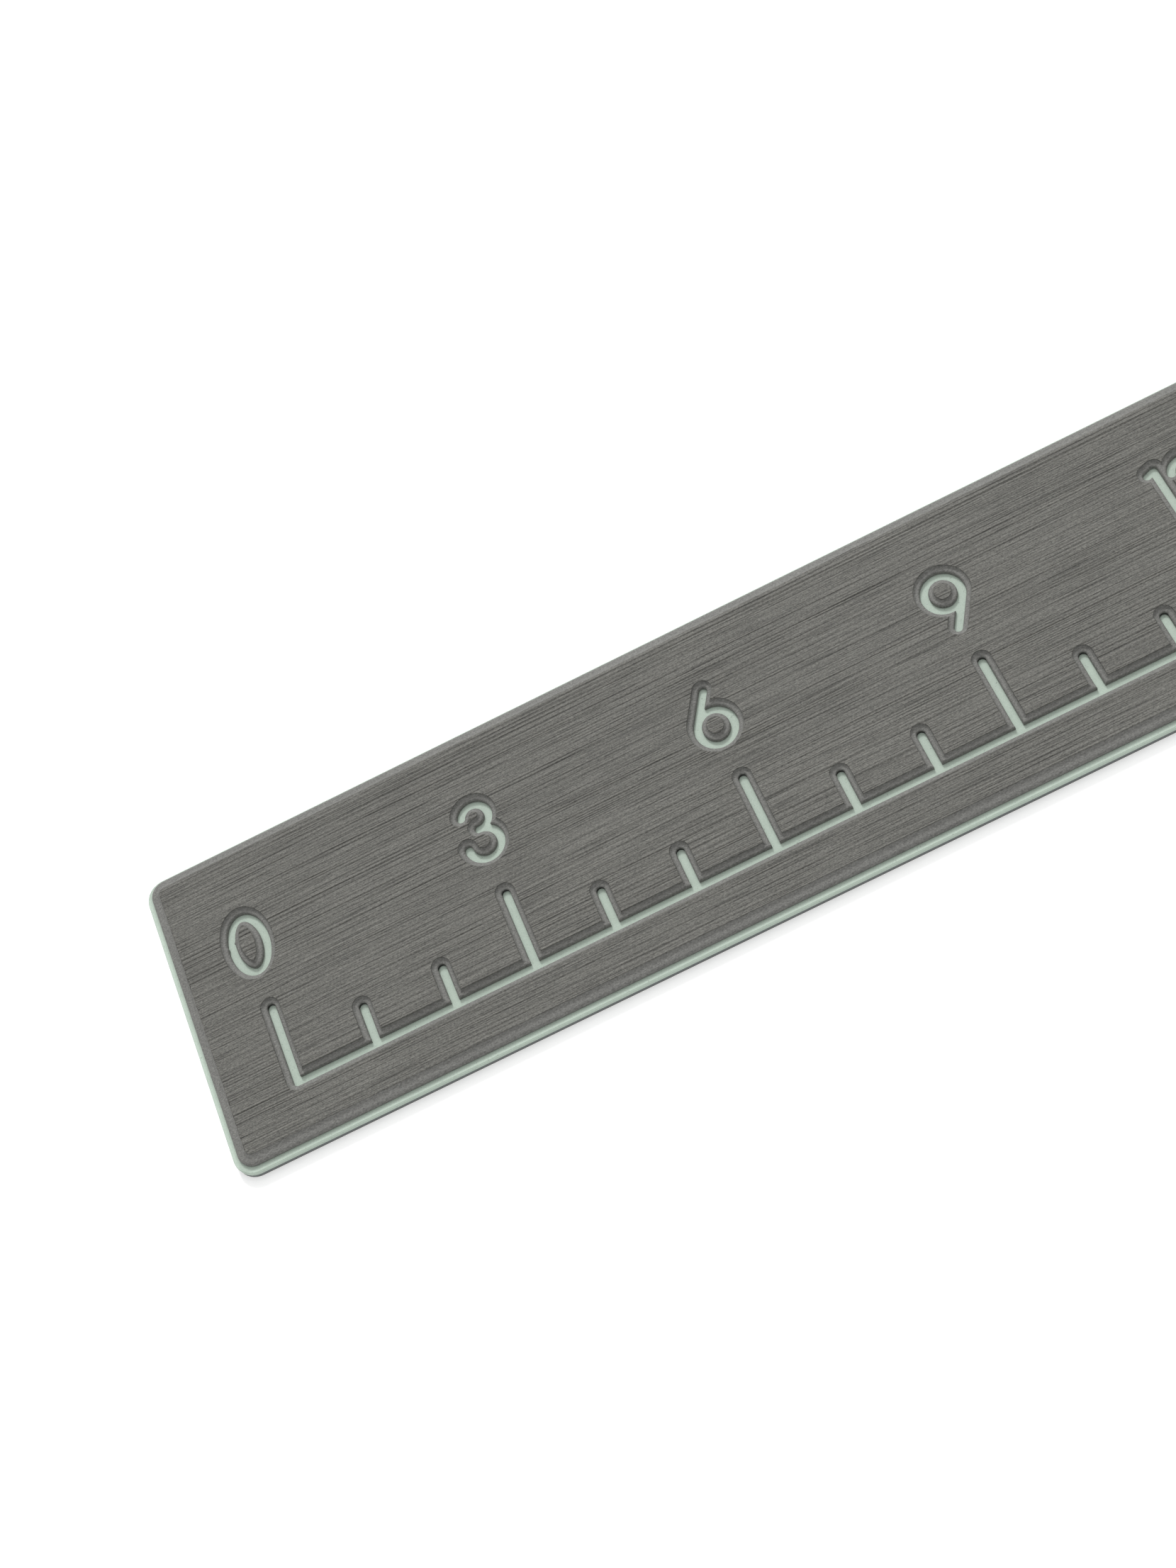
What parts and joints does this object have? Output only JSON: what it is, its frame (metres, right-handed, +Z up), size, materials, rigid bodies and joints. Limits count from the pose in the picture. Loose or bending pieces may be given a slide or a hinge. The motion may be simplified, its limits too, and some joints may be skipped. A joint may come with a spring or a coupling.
{
  "type": "foam fish ruler",
  "caption": "Flat peel-and-stick foam ruler with inch ticks, a base line and numbers routed through its brushed grey top layer down to a pale mint layer.",
  "frame": {"origin": "middle of the outline, on the liner's underside, which is the surface the ruler lies on", "axes": "+X along the scale from 0 to 36, +Y across the ruler towards the tops of the numbers, +Z up through the layers"},
  "size_m": [0.9652, 0.1016, 0.006],
  "materials": {
    "grey_top_foam": "brushed closed-cell foam, fine streaks along the scale, matt",
    "mint_middle_foam": "matt closed-cell foam, cut surface",
    "dark_base_foam": "matt closed-cell foam",
    "acrylic_adhesive": "clear tacky film",
    "liner_paper": "silicone-coated release paper, low sheen"
  },
  "bodies": {
    "root": {"top_foam_sheet": "grey_top_foam", "island_0": "grey_top_foam", "island_6": "grey_top_foam", "island_9": "grey_top_foam", "island_18_lower": "grey_top_foam", "island_18_upper": "grey_top_foam", "island_24": "grey_top_foam", "island_30": "grey_top_foam", "island_36": "grey_top_foam", "mint_foam_layer": "mint_middle_foam", "base_foam_layer": "dark_base_foam", "adhesive_film": "acrylic_adhesive", "release_liner": "liner_paper"}
  },
  "joints": []
}
